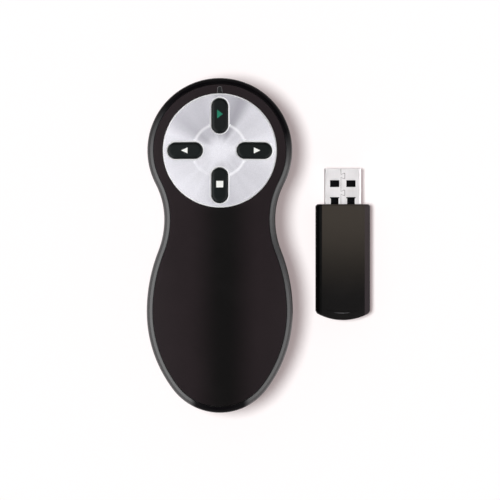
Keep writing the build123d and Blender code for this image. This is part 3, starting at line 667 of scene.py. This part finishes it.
# the control chip's legs and the small soldered parts between the switches
solder, tree, shader = new_finish("solder", Metallic=1.0)
dull = clouds(tree, place_in_mm(tree), 2.5, detail=3.0)
solder_color = tinted(tree, dull, shade(176, 178, 182), shade(208, 208, 210))
feed(tree, shader.inputs["Base Color"], solder_color)
feed(tree, shader.inputs["Roughness"], fade(tree, dull, 0.2, 0.8, 0.25, 0.5))
ceramic = moulded_plastic(
    "ceramic", shade(112, 92, 74), 0.6,
    grain_mm=0.1, grain_depth=0.004, edge_mm=0.04, patch_mm=1.0, smudge=0.05, dust=0.0,
)


def prism(build, outline, depth, to_place, finish_number=0):
    """Adds an outline in x and z, as thick as depth along y, carried to its place by a matrix."""
    ends = (depth / 2, -depth / 2)
    for face in skin(build, [[to_place @ Vector((x, y, z)) for x, z in outline] for y in ends]):
        face.material_index = finish_number


def stood_at(x, y, z, degrees):
    """The matrix that turns a part about Z and takes it to its place."""
    return Matrix.Translation((x, y, z)) @ Matrix.Rotation(math.radians(degrees), 4, "Z")


chip_low, chip_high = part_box("control_chip")
leg_count = 8
leg_width = 0.4 * mm
leg_pitch = (chip_high.x - chip_low.x) / leg_count
leg_sheet = 0.12 * mm
leg_reach = 0.9 * mm
leg_knee = 0.3 * mm
leg_rise = (chip_high.z - chip_low.z) * 0.45
leg_outline = [
    (0, leg_rise), (leg_knee, leg_rise), (leg_knee + leg_sheet, leg_sheet),
    (leg_reach, leg_sheet), (leg_reach, 0), (leg_knee, 0),
    (leg_knee - leg_sheet, leg_rise - leg_sheet), (0, leg_rise - leg_sheet),
]
build = bmesh.new()
for side_y, outward_turn in ((chip_low.y, -90), (chip_high.y, 90)):
    for index in range(leg_count):
        x = chip_low.x + (index + 0.5) * leg_pitch
        prism(build, leg_outline, leg_width, stood_at(x, side_y, chip_low.z, outward_turn))
finished(as_object("control_chip_legs", build), [solder], "handset")

board_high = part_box("main_board")[1]
part_length, part_width, part_height = 1.6 * mm, 0.8 * mm, 0.5 * mm
part_bevel = 0.06 * mm
part_lift = 0.02 * mm
cap_length = 0.35 * mm
body_half = part_length / 2 - cap_length
body_top = part_height - part_bevel
body_outline = [
    (-body_half, part_lift), (body_half, part_lift), (body_half, body_top), (-body_half, body_top),
]
# x and y of each part's middle in mm, and its turn in degrees
part_spots = [
    (-6.3, 37.2, 0), (-6.3, 38.8, 0), (6.3, 37.2, 0), (6.3, 38.8, 0), (-6.0, 24.4, 90),
    (-7.6, 24.4, 90), (6.0, 24.4, 90), (7.6, 24.4, 90), (4.6, 32.2, 0), (4.6, 30.2, 0),
    (-3.4, 32.2, 90), (-3.4, 29.4, 90), (-5.4, 15.6, 0), (-2.6, 15.6, 0), (3.2, 15.6, 0),
]
build = bmesh.new()
for x, y, degrees in part_spots:
    place = stood_at(x * mm, y * mm, board_high.z, degrees)
    prism(build, body_outline, part_width - 2 * part_bevel, place)
    for side in (-1, 1):
        inner, outer = side * body_half, side * part_length / 2
        cap_outline = [
            (inner, 0), (outer, 0), (outer, body_top), (outer - side * part_bevel, part_height),
            (inner, part_height),
        ]
        prism(build, cap_outline, part_width, place, finish_number=1)
finished(as_object("board_parts", build), [ceramic, solder], "handset")


# stretched fine lines that drawing, rolling or turning leaves in metal
drawn_lines, taken, given = effect(
    "drawn_lines", {"Fine x": 1.0, "Fine y": 1.0, "Fine z": 1.0}, {"Line": "Float"}
)
fineness = {0: taken["Fine x"], 1: taken["Fine y"], 2: taken["Fine z"]}
fineness = add(drawn_lines, "CombineXYZ", fineness).outputs[0]
stretched = vector_maths(drawn_lines, "MULTIPLY", place_in_mm(drawn_lines), fineness)
feed(drawn_lines, given["Line"], clouds(drawn_lines, stretched, 1.0, detail=4.0))


def bare_metal(name, color, roughness, fine, line_depth):
    """A metal with the lines of its making, finest across the given axes, and eased edges."""
    finish, tree, shader = new_finish(name, Metallic=1.0)
    fine_x, fine_y, fine_z = fine
    lines = apply_effect(tree, drawn_lines, Fine_x=fine_x, Fine_y=fine_y, Fine_z=fine_z)["Line"]
    edges = apply_effect(tree, edge_wear, Edge_mm=0.1)
    smudged = apply_effect(tree, handling, Patch_mm=5.0)["Smudge"]
    feed(tree, shader.inputs["Base Color"], tinted(tree, lines, scaled(color, 0.86), color))
    dulled = maths(tree, "MULTIPLY", maths(tree, "ADD", smudged, lines), 0.07)
    feed(tree, shader.inputs["Roughness"], maths(tree, "ADD", dulled, roughness))
    bump = {"Height": lines, "Distance": line_depth * mm, "Normal": edges["Eased"]}
    feed(tree, shader.inputs["Normal"], add(tree, "Bump", bump).outputs["Normal"])
    return finish


nickel = bare_metal("nickel", shade(205, 200, 190), 0.22, fine=(0.4, 9.0, 9.0), line_depth=0.002)
for part in ("crystal", "antenna"):
    dress(part, nickel)
dress("detect_plunger", plunger_white)


# ---------------------------------------------------------------------------------------------
# Board screws and housing screws: pan heads of zinc-plated steel with a cross recess. Two hold
# the board down on its posts; four come up through the case's bosses into the cover's.

zinc = bare_metal(
    "zinc_steel", shade(190, 192, 196), 0.28, fine=(3.0, 3.0, 0.4), line_depth=0.004
)


def turned(profile):
    """A build turned about Z from a profile of radii and heights, closed at both ends."""
    steps = 28
    turns = [2 * math.pi * step / steps for step in range(steps)]
    build = bmesh.new()
    skin(build, [
        [(radius * math.cos(turn), radius * math.sin(turn), height) for turn in turns]
        for radius, height in profile
    ])
    return build


def cross_cutter(name, arm, width, depth):
    """A cross-shaped wedge, wide at the top, for the screwdriver's recess."""
    outline = [
        (arm, width), (width, width), (width, arm), (-width, arm), (-width, width), (-arm, width),
        (-arm, -width), (-width, -width), (-width, -arm), (width, -arm), (width, -width),
        (arm, -width),
    ]
    narrowing = 0.6
    over_head = 0.2 * mm
    build = bmesh.new()
    narrow = [(x * narrowing, y * narrowing, -depth) for x, y in outline]
    skin(build, [narrow, [(x, y, over_head) for x, y in outline]])
    return as_object(name, build)


def pan_screw(name, head_radius, head_height, shank_radius, length):
    """A pan-head screw that stands on its tip: a domed head with a cross recess and a threaded
    shank. The top of its head is at height 0."""
    tip_z = -head_height - length
    tip_radius, tip_length = shank_radius * 0.3, shank_radius * 0.8
    pitch, groove = shank_radius * 0.5, shank_radius * 0.18
    profile = [(tip_radius, tip_z)]
    height = tip_z + tip_length
    while height < -head_height - pitch:
        profile += [(shank_radius - groove, height), (shank_radius, height + pitch / 2)]
        height += pitch
    neck_radius, underside_radius = shank_radius * 0.95, head_radius * 0.96
    profile += [(neck_radius, -head_height), (underside_radius, -head_height)]
    dome_steps = 5
    flat_share, brim_share = 0.45, 0.65
    for step in range(dome_steps + 1):
        turn = math.pi / 2 * step / dome_steps
        radius = head_radius * (flat_share + (1 - flat_share) * math.cos(turn))
        profile.append((radius, -head_height * brim_share * (1 - math.sin(turn))))
    screw = as_object(name, turned(profile))
    recess = dict(arm=head_radius * 0.55, width=head_radius * 0.13, depth=head_height * 0.7)
    carve(screw, cross_cutter(name + "_cutter", **recess))
    return screw


def loose_boxes(node):
    """The lowest and highest corner of each separate solid in a node, from left to right."""
    same_spot = 1e-6
    build = bmesh.new()
    build.from_mesh(node.data)
    bmesh.ops.remove_doubles(build, verts=build.verts[:], dist=same_spot)
    waiting, boxes = set(build.verts), []
    while waiting:
        found, front = set(), [waiting.pop()]
        while front:
            corner = front.pop()
            found.add(corner)
            for edge in corner.link_edges:
                other = edge.other_vert(corner)
                if other in waiting:
                    waiting.discard(other)
                    front.append(other)
        spots = [corner.co for corner in found]
        low = Vector(min(spot[axis] for spot in spots) for axis in range(3))
        high = Vector(max(spot[axis] for spot in spots) for axis in range(3))
        boxes.append((low, high))
    build.free()
    return sorted(boxes, key=lambda box: tuple(box[0]))


screw_kinds = {
    "board_screws": dict(head_height=1.1, shank_share=0.48, head_up=True),
    "housing_screws": dict(head_height=1.6, shank_share=0.5, head_up=False),
}
for node_name, kind in screw_kinds.items():
    dress(node_name, zinc)
    for number, (low, high) in enumerate(loose_boxes(nodes[node_name]), start=1):
        head_radius = (high.y - low.y) / 2
        head_height = kind["head_height"] * mm
        shank_radius = head_radius * kind["shank_share"]
        length = high.z - low.z - head_height
        name = f"{node_name[:-1]}_{number}"
        screw = pan_screw(name, head_radius, head_height, shank_radius, length)
        middle = (low + high) / 2
        screw.location = (middle.x, middle.y, high.z if kind["head_up"] else low.z)
        screw.rotation_euler.x = 0.0 if kind["head_up"] else math.pi
        finished(screw, [zinc], "handset")
        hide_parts(node_name)


# ---------------------------------------------------------------------------------------------
# Cells and their contacts: two AAA cells in printed wraps, laid head to tail between plates of
# nickel-plated spring steel. A bowed leaf on one of the plates presses on the base of each.

cell_low, cell_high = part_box("battery_left")
cell_radius = (cell_high.x - cell_low.x) / 2 / mm
cell_axis = (cell_low + cell_high) / 2 / mm
band_y = cell_high.y / mm - 13.0
band_blur = 0.2

cell_wrap, tree, shader = new_finish("cell_wrap", Coat_Weight=0.3, Coat_Roughness=0.1)
spot = axes_of(tree, place_in_mm(tree))
wrap_print = clouds(tree, place_in_mm(tree), 0.3, detail=4.0)
band = fade(tree, spot["Y"], band_y - band_blur, band_y)
wrap = tinted(tree, band, shade(30, 32, 36), shade(146, 98, 44))
wrap = tinted(tree, fade(tree, wrap_print, 0.3, 0.7, 0.0, 0.25), wrap, shade(58, 60, 66))
# bare steel where the wrap leaves the ends free: everything well inside the can's radius
aside = maths(tree, "SUBTRACT", maths(tree, "ABSOLUTE", spot["X"]), abs(cell_axis.x))
above = maths(tree, "SUBTRACT", spot["Z"], cell_axis.z)
off_axis = maths(tree, "MULTIPLY", above, above)
off_axis = maths(tree, "ADD", maths(tree, "MULTIPLY", aside, aside), off_axis)
off_axis = maths(tree, "SQRT", off_axis)
bare = fade(tree, off_axis, cell_radius - 0.5, cell_radius - 0.6)
feed(tree, shader.inputs["Base Color"], tinted(tree, bare, wrap, shade(200, 198, 192)))
feed(tree, shader.inputs["Metallic"], bare)
feed(tree, shader.inputs["Roughness"], fade(tree, wrap_print, 0.2, 0.8, 0.25, 0.35))
feed(tree, shader.inputs["Normal"], apply_effect(tree, edge_wear, Edge_mm=0.2)["Eased"])
for cell in ("battery_left", "battery_right"):
    dress(cell, cell_wrap)
for part in ("front_positive_contact", "front_negative_contact", "back_bridge_contact"):
    dress(part, nickel)


# ---------------------------------------------------------------------------------------------
# Receiver bay: a sleeve of satin black ABS over the cells, open at the tail, that stores the
# receiver. A bowed leaf of nickel-plated steel grips the stored plug.

dress("receiver_bay", satin_black)
dress("retaining_spring", nickel)


# ---------------------------------------------------------------------------------------------
# Receiver shells: two halves of satin black ABS closed round a small board. A shallow groove
# across the top, near the tail, lets a fingernail pull the receiver out.

receiver_black = moulded_plastic(
    "receiver_black", shade(12, 11, 11), 0.4,
    grain_mm=0.14, grain_depth=0.003, edge_mm=0.3, patch_mm=10.0, smudge=0.05, dust=0.02,
    Specular_IOR_Level=0.06,
)
# painted light and shade: the case is painted a little browner and lighter towards the plug, as if
# lit from that end, painted black along its left edge as painted shade, and painted lighter along
# its right edge as a painted reflection
case_low, case_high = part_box("receiver_top")
left_x, right_x = case_low.x / mm, case_high.x / mm
pull_y, plug_y = case_low.y / mm, case_high.y / mm
tree = receiver_black.node_tree
spot = axes_of(tree, place_in_mm(tree))
painted_light_starts, painted_light_full = pull_y + 6.0, plug_y - 2.0
left_edge_x, right_edge_x = left_x + 2.0, right_x - 1.6
edge_blur = 0.3
painted_light_toward_plug = fade(tree, spot["Y"], painted_light_starts, painted_light_full)
tint_over(receiver_black, painted_light_toward_plug, shade(58, 53, 48))
painted_shade_left_edge = fade(tree, spot["X"], left_edge_x + edge_blur, left_edge_x)
tint_over(receiver_black, painted_shade_left_edge, shade(2, 2, 2))
painted_reflection_right_edge = fade(tree, spot["X"], right_edge_x - edge_blur, right_edge_x, 0.0, 0.7)
tint_over(receiver_black, painted_reflection_right_edge, shade(58, 51, 54))
dress("receiver_top", receiver_black)
dress("receiver_bottom", receiver_black)

# painted highlight: a light gray lip along the tail side of the groove that the receiver is pulled
# out by, standing in for the light that the groove's wall catches
lip_highlight_gray = moulded_plastic(
    "lip_highlight_gray", shade(100, 99, 102), 0.4,
    grain_mm=0.1, grain_depth=0.003, edge_mm=0.04, patch_mm=2.0, smudge=0.1, dust=0.0,
)
lip_half = 5.45 * mm
lip_width, lip_least_width = 0.45 * mm, 0.03 * mm
lip_bow = 1.0 * mm
lip_slope = 0.06 * mm
lip_steps = 24
lip_middle_x = (case_low.x + case_high.x) / 2 + 0.2 * mm
lip_low_y = case_low.y + 1.86 * mm
lip_top_z = case_high.z - 0.02 * mm
lip_bottom_z = case_high.z - 0.39 * mm
outlines = []
for step in range(lip_steps + 1):
    across = 2 * step / lip_steps - 1
    x = lip_middle_x + lip_half * across
    low_y = lip_low_y + lip_bow * across**2
    high_y = low_y + max(lip_width * (1 - across**2), lip_least_width)
    outlines.append([
        (x, low_y, lip_top_z), (x, high_y, lip_top_z - lip_slope),
        (x, high_y, lip_bottom_z), (x, low_y, lip_bottom_z),
    ])
build = bmesh.new()
skin(build, outlines)
finished(as_object("receiver_lip", build), [lip_highlight_gray], "receiver")


# ---------------------------------------------------------------------------------------------
# Plug: a folded sleeve of nickel-plated steel round a black insulator with four gold contacts.
# Behind it, inside the shells, are the receiver's board, chip and crystal.

sleeve_steel = bare_metal(
    "sleeve_steel", shade(212, 209, 210), 0.3, fine=(6.0, 0.3, 6.0), line_depth=0.003
)
dress("usb_shell", sleeve_steel)

# the sheet's two edges meet on the plug's face, locked by two small dovetails. The seam is given
# in mm from the middle of the sleeve's open end.
seam_steel = bare_metal(
    "seam_steel", shade(104, 101, 100), 0.45, fine=(3.0, 3.0, 3.0), line_depth=0.002
)
sleeve_low, sleeve_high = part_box("usb_shell")
sleeve_middle_x = (sleeve_low.x + sleeve_high.x) / 2
seam_x = -0.6
seam_length = 11.5
seam_radius = 0.1 * mm
seam_z = sleeve_high.z - 0.06 * mm
neck_half, head_half, head_x, corner = 0.45, 0.95, 0.65, 0.2
seam_points = [(seam_x, 0.0)]
for dovetail in (2.4, 7.9):
    seam_points += [
        (seam_x, -dovetail + neck_half),
        (head_x - corner, -dovetail + head_half), (head_x, -dovetail + head_half - corner),
        (head_x, -dovetail - head_half + corner), (head_x - corner, -dovetail - head_half),
        (seam_x, -dovetail - neck_half),
    ]
seam_points.append((seam_x, -seam_length))
seam = [(sleeve_middle_x + x * mm, sleeve_high.y + y * mm, seam_z) for x, y in seam_points]
laid_wire("plug_seam", seam, seam_radius, seam_steel, "receiver")

tongue_black = moulded_plastic(
    "tongue_black", shade(4, 4, 5), 0.6,
    grain_mm=0.1, grain_depth=0.006, edge_mm=0.05, patch_mm=3.0, smudge=0.05, dust=0.0,
    Specular_IOR_Level=0.04,
)
dress("usb_tongue", tongue_black)
gold = bare_metal("gold", shade(226, 186, 110), 0.2, fine=(6.0, 0.4, 6.0), line_depth=0.001)
dress("usb_contacts", gold)
dress("receiver_board", circuit_green)
dress("receiver_chip", chip_black)
dress("receiver_crystal", nickel)


# ---------------------------------------------------------------------------------------------
# Table: a plain white sheet of paper under everything, wide enough for any view. It is lifted to
# white for what looks at it, straight or in a gloss, and keeps the shadows.

table_half = 4.0
table_drop = 0.02 * mm
table_mesh = bpy.data.meshes.new("table")
corners = [(-table_half, -table_half, 0), (table_half, -table_half, 0)]
corners += [(table_half, table_half, 0), (-table_half, table_half, 0)]
table_mesh.from_pydata(corners, [], [(0, 1, 2, 3)])
table = new_object("table", table_mesh)
table.location.z = -table_drop
table_white = bpy.data.materials.new("table_white")
table_white.use_nodes = True
tree = table_white.node_tree
tree.nodes.clear()
paper = add(tree, "BsdfDiffuse", {"Color": (1.0, 1.0, 1.0, 1.0)}).outputs[0]
warm_white = add(tree, "Emission", {"Color": (1.0, 0.8, 0.8, 1.0), "Strength": 1.0}).outputs[0]
path = add(tree, "LightPath").outputs
shown = maths(tree, "MAXIMUM", path["Is Camera Ray"], path["Is Glossy Ray"])
shown = maths(tree, "MAXIMUM", shown, path["Is Transmission Ray"])
lifted = maths(tree, "MULTIPLY", shown, 0.3)
surface = add(tree, "MixShader", {0: lifted, 1: paper, 2: warm_white}).outputs[0]
feed(tree, add(tree, "OutputMaterial").inputs["Surface"], surface)
table_mesh.materials.append(table_white)


# ---------------------------------------------------------------------------------------------
# Studio: a soft key light that draws the shadow, nearly overhead and a little to the left, and a
# room for gloss and metal to see: a white sweep at the horizon, a tall soft box at each side, a
# broad one overhead and a bright one high up ahead.


def soft_light(name, azimuth, elevation, width, radiance):
    """A far, round soft light, its width in degrees, as bright as its radiance all over."""
    lamp = bpy.data.lights.new(name, "SUN")
    lamp.angle = math.radians(width)
    lamp.energy = radiance * math.pi * math.sin(lamp.angle / 2) ** 2
    light = new_object(name, lamp)
    across, up = math.radians(azimuth), math.radians(elevation)
    level = math.cos(up)
    toward = Vector((math.cos(across) * level, math.sin(across) * level, math.sin(up)))
    light.rotation_euler = toward.to_track_quat("Z", "Y").to_euler()
    light.visible_glossy = False


soft_light("key_light", azimuth=180, elevation=79.5, width=14, radiance=64.0)

# what gloss sees, by where a heading points: its height is its share straight up, and forward is
# its share along +Y
room = bpy.data.worlds.new("room")
bpy.context.scene.world = room
room.use_nodes = True
tree = room.node_tree
tree.nodes.clear()
heading = add(tree, "TexCoord").outputs["Generated"]
height = axes_of(tree, heading)["Z"]
forward = axes_of(tree, heading)["Y"]
level_heading = vector_maths(tree, "MULTIPLY", heading, (1, 1, 0))
level_heading = vector_maths(tree, "NORMALIZE", level_heading)


def tall_box(azimuth, half_width, radiance):
    """A soft box that stands at one side, from the horizon up to where the overhead box begins."""
    blur = 10
    inline = vector_maths(tree, "DOT_PRODUCT", level_heading, level_ray(azimuth))
    inside = math.cos(math.radians(half_width - blur))
    outside = math.cos(math.radians(half_width + blur))
    box = fade(tree, inline, outside, inside, 0.0, radiance)
    return maths(tree, "MULTIPLY", box, fade(tree, height, 0.85, 0.94, 1.0, 0.0))


wall_radiance, ahead_share = 0.06, 0.4
overhead_radiance, front_radiance = 0.74, 4.2
plain_fill = 0.15
left_box = tall_box(azimuth=196, half_width=50, radiance=4.8)
right_box = tall_box(azimuth=-28, half_width=38, radiance=3.6)
sweep = fade(tree, height, 0.02, 0.10, 1.0, wall_radiance)
sweep = maths(tree, "MULTIPLY", sweep, fade(tree, forward, 0.3, 0.7, 1.0, ahead_share))
overhead_box = fade(tree, height, 0.87, 0.93, 0.0, overhead_radiance)
front_band = fade(tree, height, 0.95, 0.9)
front_band = maths(tree, "MULTIPLY", fade(tree, height, 0.78, 0.84), front_band)
front_box = fade(tree, forward, 0.15, 0.34, 0.0, front_radiance)
front_box = maths(tree, "MULTIPLY", front_band, front_box)
studio = maths(tree, "MAXIMUM", maths(tree, "ADD", left_box, right_box), sweep)
studio = maths(tree, "ADD", studio, maths(tree, "ADD", overhead_box, front_box))

# everything else gets a plain fill, and what looks straight at the room sees it white
path = add(tree, "LightPath").outputs
level = add(tree, "Mix", {0: path["Is Glossy Ray"], 2: plain_fill, 3: studio}).outputs[0]
shown = maths(tree, "MAXIMUM", path["Is Camera Ray"], path["Is Transmission Ray"])
level = maths(tree, "MAXIMUM", level, shown)
surface = add(tree, "Background", {"Color": (1, 1, 1, 1), "Strength": level}).outputs[0]
feed(tree, add(tree, "OutputWorld").inputs["Surface"], surface)

bpy.context.scene.view_settings.view_transform = "Standard"


# ---------------------------------------------------------------------------------------------
# Camera: straight above and far off, so that nothing leans outwards. Its distance follows from
# how wide a stretch of table it takes in.

view_width = 162.9 * mm
view_middle = Vector((9.8, -1.4, 0)) * mm
lens = bpy.data.cameras.new("camera")
lens.lens = 1200
lens.sensor_width = 36
camera = new_object("camera", lens)
distance = view_width * lens.lens / lens.sensor_width
camera.location = view_middle + Vector((0, 0, distance))
bpy.context.scene.camera = camera
